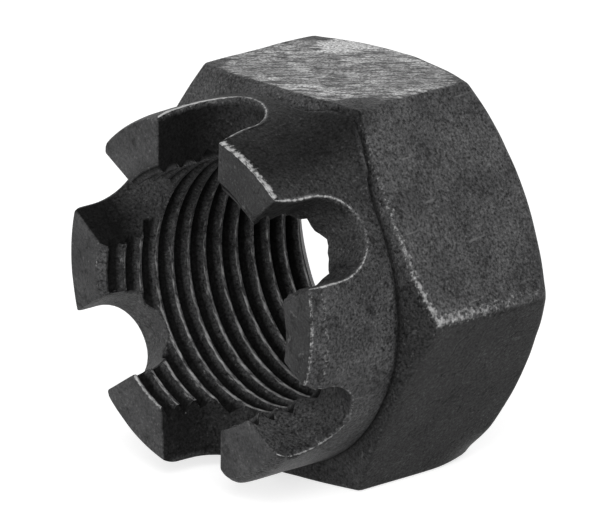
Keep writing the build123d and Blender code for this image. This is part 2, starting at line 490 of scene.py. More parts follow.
def rounded_path(corners):
    """Radii and heights of a path through corners. A corner has its radius and height, the
    setback of its rounding along both runs, the rows round it and the rows on the run that
    follows. The rounding is a quadratic curve: (1 - t) squared of where it leaves one run,
    2 t (1 - t) of the corner and t squared of where it joins the next."""
    radii = np.stack(np.broadcast_arrays(*(corner[0] for corner in corners)))
    heights = np.stack(np.broadcast_arrays(*(corner[1] for corner in corners)))
    _, _, setback, round_rows, straight_rows = zip(*corners)
    places = np.stack([radii, heights], axis=1)
    runs = np.diff(places, axis=0)
    size = np.linalg.norm(runs, axis=1)
    ahead = runs / np.maximum(size, 1e-9)[:, None]
    cut = np.zeros_like(radii)
    for k in range(1, len(corners) - 1):
        cut[k] = np.minimum(setback[k], RUN_SHARE * np.minimum(size[k - 1], size[k]))
    rows = [places[0]]
    for k in range(len(corners) - 1):
        start = places[k] + cut[k] * ahead[k]
        end = places[k + 1] - cut[k + 1] * ahead[k]
        for t in np.linspace(0, 1, straight_rows[k] + 1)[1:]:
            rows.append(start + (end - start) * t)
        for t in np.linspace(0, 1, round_rows[k + 1] + 1)[1:]:
            leave = places[k + 1] + cut[k + 1] * ahead[k + 1]
            rows.append((1 - t) ** 2 * end + 2 * t * (1 - t) * places[k + 1] + t ** 2 * leave)
    rows = np.array(rows)
    return rows[:, 0], rows[:, 1]


def bearing_and_hexagon(s, f, c):
    """Rows from the bearing countersink over the bearing face, corner chamfer, flats, shoulder
    and relief to the foot of the crown: each column's path (radius, height) is worked out
    from the hexagon's radius at that column's angle."""
    x = np.minimum(c["x"], c["half"])
    bearing = s.across_flats / 2 - s.bearing_land_step
    start, start_height = seam(s)
    hexagon = np.full(x.shape, s.across_flats / 2)
    for _ in range(4):
        angle = angle_of(c, x, hexagon, c["lower"])
        hexagon = hexagon_radius(s, f, angle)
    level = s.total_height - s.crown_height
    edge = level - (hexagon - crown_radius(s)) * tan(s.shoulder) + round_about(f.shoulder_rise, angle)
    crown = crown_radius(s) + round_about(f.crown_bulge, angle)
    reach = s.relief_width / 2
    web = np.minimum(web_at_foot(f, angle), hexagon - crown - reach - SHOULDER_LEFT)
    crown = crown + web
    foot = level + round_about(f.foot_rise, angle) - web * tan(s.shoulder)
    foot = np.maximum(foot, edge + LEAST_RISE)
    radius, height = rounded_path([
        (start, start_height, 0, 0, 3),
        (s.bearing_sink_mouth / 2, 0, s.bearing_sink_edge, 2, 4),
        (bearing, 0, s.bearing_edge, 3, 3),
        (hexagon, (hexagon - bearing) * tan(s.bearing_chamfer), s.chamfer_edge, 4, 16),
        (hexagon, edge, s.shoulder_edge, 4, 6),
        (crown + reach, foot - reach * (foot - edge) / (hexagon - crown), s.relief_mouth, 2, 1),
        (crown - s.relief_depth, foot, s.relief_floor, 2, 1),
        (crown, foot + reach, 0, 0, 0),
    ])
    # at the seam the columns stand at the angles that the bore's columns have
    nearer = (start - s.thread_minor / 2) * fade(radius - start, bearing - start)
    return angle_of(c, x, radius - nearer, c["lower"]), radius, height


# ---- form: the crown and the castle's rim ----------------------------------------------

# the crown's rows, as shares of the way from its foot to its end, closer where the taper starts
CROWN_SHARES = np.array([0.04, 0.08, 0.12, 0.17, 0.22, 0.28, 0.34, 0.4, 0.47, 0.54, 0.61, 0.68, 0.74,
                         0.8, 0.84, 0.88, 0.9, 0.917, 0.94, 0.96, 0.98, 1.0])[:, None]
# rows round the softened outer edge, and from there inward over the prongs' ends
EDGE_ROWS, END_ROWS = 5, 9
# the crown meets its foot, where that stands out, over this length
FOOT_FADE = 1.5 * MM


def crown_surface(s, f, c, angle, height, foot):
    """Radius of the crown: the turned cylinder, less each prong's draw over its end, which
    grows by a power, less the rounding of the prong toward its slot, by the distance to the
    slot's outline, plus a bulge that dies away toward the castle end, and plus the web, which
    dies away upward by a square."""
    across = crown_radius(s) * np.sin(np.abs(angle - c["slot_angle"]))
    distance = np.hypot(across, np.maximum(c["spring"] - height, 0)) - c["half_out"]
    prong = prong_at(angle)
    depth = s.total_height - height
    taper = c["draw"] * fade(depth, np.array(f.end_reach)[prong]) ** np.array(f.end_bend)[prong]
    bulge = round_about(f.crown_bulge, angle) * (1 - fade(depth, f.bulge_fade))
    web = web_at_foot(f, angle) * fade(height - foot, f.web_rise) ** 2
    return crown_radius(s) + bulge - taper - rounding(c["round"], distance) + web


def crown_rows(s, f, c, start, foot):
    """The outside of the crown: columns leave the foot spread out and draw together in a
    straight fan onto the outline of the castle."""
    at_foot = angle_of(c, np.minimum(c["x"], c["half"]), start, c["lower"])
    radius = crown_radius(s)
    height = c["out"] + c["inset"] * c["nh"]
    for _ in range(3):
        at_rim = angle_of(c, c["x_out"] + c["inset"] * c["nx"], radius, c["at_rim"])
        radius = crown_surface(s, f, c, at_rim, height, foot)
    angle = at_foot + (at_rim - at_foot) * CROWN_SHARES
    height = foot + (height - foot) * CROWN_SHARES
    surface = crown_surface(s, f, c, angle, height, foot)
    gap = start - crown_surface(s, f, c, at_foot, foot, foot)
    return angle, surface + gap * fade(height - foot, FOOT_FADE) ** 2, height


def castle_rim(s, f, c, start):
    """From the outside of the crown round the softened edge, inward along the slot floors,
    slot walls and prong ends, and over a small broken edge to the wall of the bore."""
    broken = s.inner_edge
    x_inner = c["x_in"] + broken * c["nx"]
    inner_height = c["in"] + broken * c["nh"]
    inner = s.thread_minor / 2
    for _ in range(5):
        inner_angle = angle_of(c, x_inner, inner, c["at_rim"])
        inner = bore_radius(s, f, inner_angle, inner_height)
    edge = c["round"] + (s.prong_edge - c["round"]) * c["level"]
    alpha = np.linspace(0, pi / 2, EDGE_ROWS + 1)[1:, None]
    offset = c["inset"] * (1 - np.sin(alpha))
    radius = start - rounding(edge, offset) + rounding(edge, c["inset"])
    outer = radius[-1]
    step = np.linspace(0, 1, END_ROWS + 1)[1:, None]
    flat_radius = outer + (inner + broken - outer) * step
    radius = np.concatenate([radius, flat_radius])
    offset = np.concatenate([offset, np.zeros(flat_radius.shape)])
    inward = np.clip((outer - radius) / (outer - inner), 0, 1)
    x = c["x_out"] + (c["x_in"] - c["x_out"]) * inward + offset * c["nx"]
    angle = angle_of(c, x, radius, c["at_rim"])
    height = c["out"] + (c["in"] - c["out"]) * inward + offset * c["nh"]
    rows, last_row = (angle, radius, height), (inner_angle, inner, inner_height)
    return tuple(np.concatenate([row, last[None]]) for row, last in zip(rows, last_row))


# ---- form: the thread ------------------------------------------------------------------

# where the thread's crest ends and its root begins, in turns from the crest's middle
CREST, ROOT = 0.125, 0.44
THREAD_ROWS = np.array([-0.125, -0.045, 0.045, 0.125, 0.28, 0.44, 0.5, 0.56, 0.72])
# the helix is followed from this many turns below the bearing face
FIRST_TURN = -2


def from_crest(s, angle, height):
    """Turns from the nearest crest of the helix: height over pitch, less the angle over a
    full turn, less the nearest whole number."""
    turns = height / s.thread_pitch - (angle + s.thread_start) / (2 * pi)
    return turns - np.round(turns)


def castle_cone(s, f, angle, height):
    """Radius of the castle's countersink: its mouth at that prong, less the depth below the
    castle end times the tangent of half its angle."""
    mouth = s.thread_minor / 2 + np.array(f.sink_mouth)[prong_at(angle)]
    return mouth - (s.total_height - height) * tan(s.castle_sink / 2)


def bore_radius(s, f, angle, height):
    """The wall of the bore: an ISO thread's trapeze, crest at the minor and root at the major
    radius, widened by both countersinks."""
    minor, major = s.thread_minor / 2, s.thread_major / 2
    groove = np.clip((np.abs(from_crest(s, angle, height)) - CREST) / (ROOT - CREST), 0, 1)
    thread = minor + (major - minor) * groove
    bearing = s.bearing_sink_mouth / 2 - height * tan(s.bearing_sink / 2)
    return np.maximum(thread, np.maximum(castle_cone(s, f, angle, height), bearing))


def bore_rows(s, f, c, top_angle, top_height):
    """The thread: rows climb with the helix, one pitch in a turn, so that they run along its
    crests and roots, and stop at the castle's rim above and at the bearing countersink below.
    Below the slots the columns spread out again as they do on the crown."""
    low = s.total_height - s.crown_height + s.relief_width / 2
    _, bottom = seam(s)
    base = angle_of(c, np.minimum(c["x"], c["half"]), s.thread_minor / 2, c["lower"])
    turns_up = int(s.total_height / s.thread_pitch) + 1
    levels = (np.arange(FIRST_TURN, turns_up + 1)[:, None] + THREAD_ROWS).ravel()[::-1, None]
    height = s.thread_pitch * (levels + (base + s.thread_start) / (2 * pi))
    height = np.clip(height, bottom, top_height)
    fan = np.clip((height - low) / np.maximum(top_height - low, 1e-9), 0, 1)
    angle = base + (top_angle - base) * fan
    return angle, bore_radius(s, f, angle, height), height


# ---- wear: where the skin is rubbed through, and painted highlights on the thread's crests ---

# width of the worn band along a hexagon edge, how far it lies to one side, and how it grows from
# a share at the bearing face, to full where height over this length has made up the rest
EDGE_BAND, EDGE_BAND_SIDE, AT_BEARING, GROWS_OVER = 0.6 * MM, 0.3 * MM, 0.25, 14 * MM
# widths of the worn lines along the shoulder's edge and where a taper starts
SHOULDER_BAND, TAPER_BAND = 0.3 * MM, 0.22 * MM
# the hexagon is at its full size this near to its greatest radius, and the wear of its edges ends
# this far past the shoulder's edge and this far outside the crown
FULL_SIZE, PAST_SHOULDER, OFF_CROWN = 0.03 * MM, 0.1 * MM, 0.4 * MM
# the same, in rows, with their middle first: a slot's rim, a prong's end edge, the inner edge
RIM_ROWS, END_EDGE_ROWS, INNER_ROWS = (1.2, 1.3), (1.0, 1.6), (0, 0.8)
# width, in turns, of the worn line along the thread's crest, which also stands in for its painted highlight,
# and how deep it reaches
CREST_BAND, CREST_DEPTH = 0.13, 0.05 * MM


def rows_from(first, angle):
    """The rows' numbers, as a column that starts from a first one."""
    return first + np.arange(len(angle))[:, None]


def hexagon_wear(s, w, angle, radius, height):
    """Edges between two flats, more toward the shoulder, and the shoulder's edge, eased from
    one end of each flat to the other."""
    full_size = radius > radius.max(axis=0) - FULL_SIZE
    shoulder = np.where(full_size, height, 0).max(axis=0)
    on_edge = np.array(w.hexagon_edges)[prong_at(angle)]
    on_edge = on_edge * hill(from_edge(angle) * radius, EDGE_BAND_SIDE, EDGE_BAND)
    on_edge = on_edge * np.clip(AT_BEARING + height / GROWS_OVER, 0, 1) * (height < shoulder + PAST_SHOULDER)
    ends = np.array(w.shoulder_edges).reshape(PRONGS, 2)[flat_at(angle)]
    along = ends[..., 0] + (ends[..., 1] - ends[..., 0]) * (angle % SECTOR) / SECTOR
    on_shoulder = along * hill(height, shoulder, SHOULDER_BAND)
    return np.maximum(on_edge, on_shoulder) * (radius > crown_radius(s) + OFF_CROWN)


def rim_wear(w, c, angle, row):
    """Hills over the rows about the castle's outer rim, by rows from there: the slots' rims,
    broader where their value is over 1, and the prongs' end edges."""
    rim = per_side(c, w.slot_rims) * c["to_wall"] + np.array(w.floor_rims)[c["slot"]] * (1 - c["to_wall"])
    rim = rim * (1 - c["level"])
    end = np.array(w.prong_ends)[prong_at(angle)] * c["level"]
    middle, width = RIM_ROWS
    return np.maximum(rim * hill(row, middle, width * np.maximum(rim, 1)), end * hill(row, *END_EDGE_ROWS))


def inner_wear(w, c, angle, row):
    """A hill over the rows about the castle's inner edge, strongest on the prongs' ends."""
    return np.array(w.inner_edges)[prong_at(angle)] * (0.4 + 0.6 * c["level"]) * hill(row, *INNER_ROWS)


def crown_wear(s, f, w, c, angle, radius, height):
    """The rim, a band of wear below each prong's end edge, and a line where its taper starts."""
    prong = prong_at(angle)
    band = np.array(w.end_bands)[prong]
    below_band = np.maximum(s.total_height - height - 0.5 * band, 0)
    on_band = np.array(w.prong_ends)[prong] * c["level"] * hill(below_band, 0, 0.6 * band)
    taper_start = s.total_height - np.array(f.end_reach)[prong]
    on_taper = np.array(w.end_tapers)[prong] * c["level"] * hill(height, taper_start, TAPER_BAND)
    rim = rim_wear(w, c, angle, rows_from(-len(angle), angle))
    return np.maximum(on_taper, np.maximum(rim, on_band))


def castle_wear(w, c, angle):
    """The outer rim and the inner edge of the castle."""
    outer = rim_wear(w, c, angle, rows_from(0, angle))
    return np.maximum(outer, inner_wear(w, c, angle, rows_from(1 - len(angle), angle)))


def thread_wear_and_highlight(s, w, c, angle, radius, height):
    """The thread's crests, worn bright and also painted as highlights that grow brighter toward the bottom of
    the bore, and the castle's inner edge.
    """
    lower = 0.5 - 0.5 * np.sin(angle)
    crest = (0.3 + 0.6 * lower) * hill(from_crest(s, angle, height), 0, CREST_BAND)
    crest = crest * (radius < s.thread_minor / 2 + CREST_DEPTH)
    return np.maximum(crest, inner_wear(w, c, angle, rows_from(1, angle)))


# ---- painted shade: where the skin is darkened to stand for shade --------------------------

# a point this near to a cone or flat lies on it, and one this far under a flat is off it
ON_CONE, ON_FLAT, OFF_FLAT = 0.01 * MM, 0.02 * MM, 0.1 * MM
# the shoulder's painted shade starts above this height
SHOULDER_FROM = 10 * MM
# width of the painted shade in the groove, and the lengths over which it sets in or fades elsewhere
GROOVE_BAND, FLAT_SHADE_FADE, SLOT_SHADE_FADE, THREAD_SHADE_FADE = 0.3 * MM, 0.8 * MM, 0.2 * MM, 0.25 * MM


def groove_painted_shade(s, w, foot, angle, radius, height):
    """Painted shade in the groove at the crown's foot: a smooth hill about the groove, by the distance from
    it.
    """
    foot_radius, foot_height = foot
    across = radius - (foot_radius - s.relief_depth)
    along = height - (foot_height - s.relief_width / 2)
    return hill(np.hypot(across, along), 0, GROOVE_BAND) * round_about(w.crease_painted_shade, angle)


def hexagon_painted_shade(s, w, foot, knock, angle, radius, height):
    """Painted shade on the shoulder, in the groove at its end, on the flats and, near the shoulder, on
    knocked edges.
    """
    depth = below_flat(s, angle, radius)
    on_shoulder = (height > SHOULDER_FROM) * (depth > OFF_FLAT)
    # painted shade on the flats that face down
    on_flat = np.array(w.flat_painted_shade)[flat_at(angle)] * fade(depth, FLAT_SHADE_FADE)
    # painted shade on knocked corners near the shoulder
    near_shoulder = np.clip(knock / (0.3 * MM), 0, 1) * (height > s.total_height / 3)
    return np.maximum.reduce([on_shoulder * round_about(w.shoulder_painted_shade, angle), on_flat,
                              groove_painted_shade(s, w, foot, angle, radius, height),
                              np.array(w.knock_painted_shade)[prong_at(angle)] * near_shoulder])


def crown_painted_shade(s, w, foot, angle, radius, height):
    """Painted shade on the crown, darker on some sides than on others, and in the groove at its foot."""
    on_crown = round_about(w.crown_painted_shade, angle) + np.zeros_like(radius)
    return np.maximum(on_crown, groove_painted_shade(s, w, foot, angle, radius, height))


def castle_painted_shade(s, w, c, angle, radius):
    """Painted shade on the slots' walls and floors, from a little inside the crown, and on the prongs' ends.
    """
    inside = np.clip((crown_radius(s) - OFF_FLAT - radius) / SLOT_SHADE_FADE, 0, 1)
    floors = np.array(w.floors_painted_shade)[c["slot"]]
    walls = per_side(c, w.walls_painted_shade)
    in_slot = (1 - c["level"]) * inside * (walls * c["to_wall"] + floors * (1 - c["to_wall"]))
    on_end = c["on_end"] * np.array(w.face_painted_shade)[prong_at(angle)]
    return np.maximum(on_end, in_slot)


def thread_painted_shade(s, f, w, angle, radius, height):
    """Painted shade on the thread, from a quarter on its crests to full in its grooves, and on the
    countersink.
    """
    minor = s.thread_minor / 2
    on_cone = np.abs(radius - castle_cone(s, f, angle, height)) < ON_CONE
    # painted shade: the grooves darker than the crests
    in_groove = 0.25 + 0.75 * np.clip((radius - minor) / THREAD_SHADE_FADE, 0, 1)
    return np.where(on_cone & (radius > minor + ON_CONE), np.array(w.sink_painted_shade)[prong_at(angle)], in_groove)


# ---- form: the mesh --------------------------------------------------------------------

# the lattice of hills repeats after this many, and its start keeps every place above zero
LATTICE, LATTICE_START = 32, 100.37
# points nearer than this, in metres, are one
WELD = 1e-7
# the unevenness lies this share of its height below the design, so that little stands out
SUNK = 0.6
# edges sharper than this stay sharp
SHARP = radians(38)


def lumps(points, size, seed):
    """Smooth random hills between -1 and 1: a lattice of seeded random heights, a size apart,
    blended between its eight nearest corners with a smooth step along each axis."""
    lattice = np.random.default_rng(seed).uniform(-1, 1, (LATTICE, LATTICE, LATTICE))
    place = points / size + LATTICE_START
    cell = np.floor(place).astype(int)
    part = smooth_step(place - cell)
    total = np.zeros(len(points))
    for corner in range(8):
        step = np.array([corner & 1, corner >> 1 & 1, corner >> 2 & 1])
        weight = np.prod(np.where(step, part, 1 - part), axis=1)
        i, j, k = ((cell + step) % LATTICE).T
        total += weight * lattice[i, j, k]
    return total


def weld(points, values, faces):
    """Joins points that lie in one place and drops the faces that this closes up."""
    keys = np.round(points / WELD).astype(np.int64)
    _, first, where = np.unique(keys, axis=0, return_index=True, return_inverse=True)
    faces = where.ravel()[faces]
    same = faces == np.roll(faces, -1, axis=1)
    quads = faces[~same.any(axis=1) & (faces[:, 0] != faces[:, 2]) & (faces[:, 1] != faces[:, 3])]
    one = same.sum(axis=1) == 1
    short, closed = faces[one], same[one]
    order = (closed.argmax(axis=1)[:, None] + np.array([1, 2, 3])) % 4
    triangles = np.take_along_axis(short, order, axis=1)
    triangles = triangles[triangles[:, 0] != triangles[:, 2]]
    return points[first], {name: value[first] for name, value in values.items()}, quads, triangles


def mesh_from(name, points, quads, triangles):
    """A mesh object at the origin, from point, quad and triangle arrays."""
    mesh = bpy.data.meshes.new(name)
    loops = np.concatenate([quads.ravel(), triangles.ravel()]).astype(np.int32)
    starts = np.concatenate([np.arange(len(quads)) * 4, 4 * len(quads) + np.arange(len(triangles)) * 3])
    mesh.vertices.add(len(points))
    mesh.vertices.foreach_set("co", points.astype(np.float32).ravel())
    mesh.loops.add(len(loops))
    mesh.loops.foreach_set("vertex_index", loops)
    mesh.polygons.add(len(starts))
    mesh.polygons.foreach_set("loop_start", starts.astype(np.int32))
    mesh.update(calc_edges=True)
    mesh.validate()
    piece = bpy.data.objects.new(name, mesh)
    bpy.context.scene.collection.objects.link(piece)
    return piece


def make_uneven(f, piece, points, outside):
    """Moves outside points along their normals by broad swells and finer dents, and keeps
    them within the solid's box."""
    normals = np.empty(3 * len(points), np.float32)
    piece.data.vertices.foreach_get("normal", normals)
    push = f.swell * (lumps(points, f.swell_size, f.seed) - SUNK)
    push += f.hammer * lumps(points, f.hammer_size, f.seed + 1)
    points = points + normals.reshape(-1, 3) * (push * outside)[:, None]
    points = np.clip(points, np.array(LOW), np.array(HIGH))
    piece.data.vertices.foreach_set("co", points.astype(np.float32).ravel())


def forge_nut(s, f, w):
    """The whole nut as one closed surface: columns round the axis, rows along a closed
    section, worked out as angle, radius and height and turned into points last."""
    c = castle_columns(s, f)
    hexagon = bearing_and_hexagon(s, f, c)
    foot = [rows[-1] for rows in hexagon[1:]]
    crown = crown_rows(s, f, c, *foot)
    castle = castle_rim(s, f, c, crown[1][-1])
    thread = bore_rows(s, f, c, castle[0][-1], castle[2][-1])
    wear_and_highlight = [hexagon_wear(s, w, *hexagon), crown_wear(s, f, w, c, *crown), castle_wear(w, c, castle[0]),
            thread_wear_and_highlight(s, w, c, *thread)]

    knock = knocked(s, f, *hexagon)
    hexagon = hexagon[0], hexagon[1] - knock, hexagon[2]
    # painted shade for each part of the nut
    painted_shade = [hexagon_painted_shade(s, w, foot, knock, *hexagon), crown_painted_shade(s, w, foot, *crown),
            castle_painted_shade(s, w, c, *castle[:2]), thread_painted_shade(s, f, w, *thread)]
    angle, radius, height = (np.concatenate(rows) for rows in zip(hexagon, crown, castle, thread))
    part = np.repeat(np.arange(4), [len(rows) for rows in wear_and_highlight])[:, None]
    on_flat = (part == 0) & (np.abs(below_flat(s, angle, radius)) < ON_FLAT)
    values = {
        "wear_and_highlight": np.concatenate(wear_and_highlight),
        # painted shade mask: how far each point is darkened to stand for shade
        "painted_shade_mask": np.concatenate(painted_shade),
        # rubbed flats, the top one also a painted highlight
        "rubbed_and_highlit": np.array(w.flats)[flat_at(angle)] * on_flat,
        "threaded": (part == 3) * np.ones_like(angle),
        "turned": (part == 2) * c["on_end"] * 1.0,
    }
    values = {name: value.ravel() for name, value in values.items()}

    points = np.stack([radius * np.cos(angle), -height, radius * np.sin(angle)], axis=-1).reshape(-1, 3)
    index = np.arange(len(points)).reshape(angle.shape)
    below = np.roll(index, -1, axis=0)
    faces = np.stack([index[:, :-1], index[:, 1:], below[:, 1:], below[:, :-1]], axis=-1).reshape(-1, 4)
    points, values, quads, triangles = weld(points, values, faces)
    piece = mesh_from("nut_body", points, quads, triangles)
    make_uneven(f, piece, points, values["threaded"] == 0)
    for name, value in values.items():
        layer = piece.data.attributes.new(name, "FLOAT", "POINT")
        layer.data.foreach_set("value", value.astype(np.float32))
    piece.data.shade_smooth()
    piece.data.set_sharp_from_angle(angle=SHARP)
    piece.data.update()
    return piece


# ---- finish ---------------------------------------------------------------------------

class Wiring:
    """Adds nodes to a shader tree and joins them up. Most calls give back the socket that they
    end in, so that they nest."""

    def __init__(self, tree):
        self.tree = tree

    def node(self, kind, inputs=(), **settings):
        """Adds a node, sets its settings, and fills its inputs with values or other sockets."""
        made = self.tree.nodes.new(kind)
        for name, value in settings.items():
            setattr(made, name, value)
        for name, value in dict(inputs).items():
            if isinstance(value, bpy.types.NodeSocket):
                self.tree.links.new(value, made.inputs[name])
            else:
                made.inputs[name].default_value = value
        return made

    def math(self, operation, first, second=0.0):
        """One sum, product or other operation on two numbers."""
        return self.node("ShaderNodeMath", {0: first, 1: second}, operation=operation).outputs[0]

    def product(self, first, second):
        """One number times another."""
        return self.math("MULTIPLY", first, second)

    def ramp(self, value, low, high, at_low=0.0, at_high=1.0):
        """Leads from one number, at a low value, in a straight line to another at a high one."""
        return self.node("ShaderNodeMapRange", {"Value": value, "From Min": low, "From Max": high,
                                                "To Min": at_low, "To Max": at_high}).outputs[0]

    def noise(self, place, scale, detail, roughness=0.65):
        """A cloudy pattern from 0 to 1."""
        return self.node("ShaderNodeTexNoise", {"Vector": place, "Scale": scale, "Detail": detail,
                                                "Roughness": roughness}).outputs["Fac"]

    def stretched(self, place, stretch, turned=0.0):
        """Draws a pattern out by a factor along each axis, and turns it about Z."""
        return self.node("ShaderNodeMapping", {"Vector": place, "Scale": stretch, "Rotation": (0, 0, turned)},
                         vector_type="TEXTURE").outputs[0]

    def attribute(self, name):
        """A number that the mesh holds at each point."""
        return self.node("ShaderNodeAttribute", attribute_name=name).outputs["Fac"]

    def mix(self, part, first, second):
        """The first number less its part, plus that part of the second."""
        return self.node("ShaderNodeMix", {0: part, 2: first, 3: second}, data_type="FLOAT").outputs[0]

    def mix_colours(self, part, first, second, blend="MIX"):
        """The same for colours, each a socket or three numbers."""
        first, second = (value if isinstance(value, bpy.types.NodeSocket) else (*value, 1)
                         for value in (first, second))
        return self.node("ShaderNodeMix", {0: part, 6: first, 7: second}, data_type="RGBA",
                         blend_type=blend).outputs[2]

    def end_in(self, kind, surface):
        """Adds the output node and leads a shader to it."""
        self.node(kind, {"Surface": surface})


def emptied(owner):
    """The shader tree of a material or world, with nothing in it."""
    owner.use_nodes = True
    owner.node_tree.nodes.clear()
    return Wiring(owner.node_tree)


def new_group(name, inputs, outputs):
    """A shader node group with named sockets; inputs and outputs are (name, kind, default)."""
    group = bpy.data.node_groups.new(name, "ShaderNodeTree")
    for way, sockets in (("INPUT", inputs), ("OUTPUT", outputs)):
        for label, kind, default in sockets:
            socket = group.interface.new_socket(name=label, in_out=way, socket_type="NodeSocket" + kind)
            if default is not None:
                socket.default_value = default
    return group


def grain_group():
    """Sand-like grain and pits of a forged, blackened skin, with folds where it was pressed
    together: a height for the bump, a tone that the skin's colour is multiplied by, and a mask
    of bright specks. Its patterns are in millimetres."""
    group = new_group(
        "forged_grain",
        [("Vector", "Vector", None), ("Grain size", "Float", 0.2), ("Pit size", "Float", 0.8),
         ("Contrast", "Float", 1.0)],
        [("Height", "Float", None), ("Tone", "Float", None), ("Specks", "Float", None)])
    wire = Wiring(group)
    given = wire.node("NodeGroupInput").outputs
    place = wire.node("ShaderNodeVectorMath", {0: given["Vector"], "Scale": 1 / MM},
                      operation="SCALE").outputs[0]
    rough = 0.7

    fine = wire.noise(place, wire.math("DIVIDE", 1.0, given["Grain size"]), 4.0, rough)
    broad = wire.noise(place, 0.9, 4.0, rough)
    cells = wire.node("ShaderNodeTexVoronoi", {
        "Vector": place, "Scale": wire.math("DIVIDE", 1.0, given["Pit size"])}).outputs["Distance"]
    pits = wire.product(wire.ramp(cells, 0.05, 0.28, 1.0, 0.0), wire.ramp(broad, 0.5, 0.62))
    from_fold = wire.math("ABSOLUTE", wire.math("SUBTRACT", wire.noise(place, 0.42, 1.5, rough), 0.5))
    here_and_there = wire.ramp(wire.noise(place, 0.6, 3.0, rough), 0.52, 0.58)
    folds = wire.product(wire.ramp(from_fold, 0.0, 0.05, 1.0, 0.0), here_and_there)

    swing = wire.product(wire.math("SUBTRACT", wire.ramp(fine, 0.3, 0.72), 0.45), given["Contrast"])
    tone = wire.product(wire.math("ADD", swing, 1.0), wire.ramp(pits, 0.0, 1.0, 1.0, 0.5))
    tone = wire.product(tone, wire.ramp(folds, 0.0, 1.0, 1.0, 0.45))
    hills = wire.math("ADD", wire.product(fine, 1.4), broad)
    height = wire.math("SUBTRACT", hills, wire.math("ADD", pits, folds))
    specks = wire.product(wire.ramp(wire.noise(place, 5.0, 2.0, rough), 0.65, 0.71),
                          wire.ramp(broad, 0.42, 0.55))
    wire.node("NodeGroupOutput", {"Height": height, "Tone": tone, "Specks": specks})
    return group


def oxide_skin(wire, look, place, painted_shade_mask):
    """Colour of the oxide before its grain: patches of thin skin, rubbed and brushed flats with
    one bare patch, one flat also lightened as a painted highlight, and painted shade in the recesses and on
    darker sides. Patterns here and below are in cells to the metre."""
    skin = wire.mix_colours(wire.ramp(wire.noise(place, 350.0, 5.0), 0.4, 0.65), look.oxide, look.oxide_dull)
    on_flat = wire.attribute("rubbed_and_highlit")
    brushed = wire.noise(wire.stretched(place, (4.0, 1.0, 1.0), radians(46)), 2800.0, 4.0)
    mottled = wire.math("MAXIMUM", wire.ramp(wire.noise(place, 420.0, 5.0), 0.32, 0.6), 0.45)
    # rubbed skin that also paints the top flat's highlight
    thin_skin_and_highlight = wire.product(wire.product(on_flat, mottled), wire.ramp(brushed, 0.4, 0.54))
    skin = wire.mix_colours(thin_skin_and_highlight, skin, look.rubbed_and_highlit)
    from_patch = wire.node("ShaderNodeVectorMath", {0: place, 1: look.bare_place},
                           operation="DISTANCE").outputs["Value"]
    nearness = wire.math("SUBTRACT", 1.0, wire.math("DIVIDE", from_patch, look.bare_size))
    patch = wire.product(on_flat, wire.ramp(wire.math("ADD", nearness, brushed), 0.78, 0.92))
    skin = wire.mix_colours(patch, skin, look.bare)
    # painted shade: the near-black colour mixed in by the painted shade mask
    return wire.mix_colours(painted_shade_mask, skin, look.painted_shade)


def worn_through_and_highlit(wire, place):
    """Mask of the rubbed edges and of the thread's crests, which also stand in for painted highlights: wear
    plus a noise that makes its border ragged, drawn out along the thread in the bore, and cut off at a
    threshold."""
    chipped = wire.noise(place, 3600.0, 6.0)
    chipped_thread = wire.noise(wire.stretched(place, (4.5, 1.0, 4.5)), 5000.0, 6.0)
    uneven = wire.mix(wire.attribute("threaded"), chipped, chipped_thread)
    ragged = wire.product(wire.math("SUBTRACT", uneven, 0.5), 2.2)
    return wire.ramp(wire.math("ADD", wire.attribute("wear_and_highlight"), ragged), 0.5, 1.1, 0.0, 0.9)


def black_steel(look):
    """Black oxide over forged steel: dark skin with dusty patches, rubbed bright along edges, one flat and
    the thread's crests lightened as painted highlights, and painted shade in recesses and on darker sides.
    """
    material = bpy.data.materials.new("black_steel")
    wire = emptied(material)
    place = wire.node("ShaderNodeTexCoord").outputs["Object"]
    painted_shade_mask = wire.attribute("painted_shade_mask")
    contrast = wire.ramp(wire.attribute("turned"), 0.0, 1.0, look.forged_contrast, look.turned_contrast)
    grain = wire.node("ShaderNodeGroup", node_tree=grain_group())
    wire.tree.links.new(place, grain.inputs["Vector"])
    wire.tree.links.new(contrast, grain.inputs["Contrast"])
    grain = grain.outputs

    skin = oxide_skin(wire, look, place, painted_shade_mask)
    tone = wire.node("ShaderNodeCombineColor", {0: grain["Tone"], 1: grain["Tone"], 2: grain["Tone"]})
    skin = wire.mix_colours(1.0, skin, tone.outputs[0], "MULTIPLY")
    # specks and scratches fade out under the painted shade
    away_from_painted_shade = wire.ramp(painted_shade_mask, 1.0, 0.2)
    skin = wire.mix_colours(wire.product(grain["Specks"], away_from_painted_shade), skin, look.speck)
    scratches = wire.noise(wire.stretched(place, (1.0, 14.0, 1.0), 0.15), 1500.0, 2.0)
    scratched = wire.product(wire.ramp(scratches, 0.68, 0.73, 0.0, 0.6), away_from_painted_shade)
    skin = wire.mix_colours(scratched, skin, look.scratch)
    # wear mask, with the thread's crests also painted as highlights
    worn_and_highlit = worn_through_and_highlit(wire, place)
    skin = wire.mix_colours(worn_and_highlit, skin, look.bare)

    unworn = wire.math("MAXIMUM", wire.product(painted_shade_mask, look.painted_shade_roughness), look.roughness)
    bump = wire.node("ShaderNodeBump", {"Height": grain["Height"], "Strength": 0.9, "Distance": look.relief})
    steel = wire.node("ShaderNodeBsdfPrincipled", {
        "Base Color": skin, "Roughness": wire.mix(worn_and_highlit, unworn, look.worn_roughness),
        "Metallic": look.metallic, "Specular IOR Level": look.gloss, "Normal": bump.outputs["Normal"]})
    wire.end_in("ShaderNodeOutputMaterial", steel.outputs[0])
    return material


def seen_directly(wire):
    """1 on rays from the camera, and on mirrored and refracted ones, and 0 on the rest."""
    path = wire.node("ShaderNodeLightPath").outputs
    seen = wire.math("MAXIMUM", path["Is Camera Ray"], path["Is Glossy Ray"])
    return wire.math("MAXIMUM", seen, path["Is Transmission Ray"])


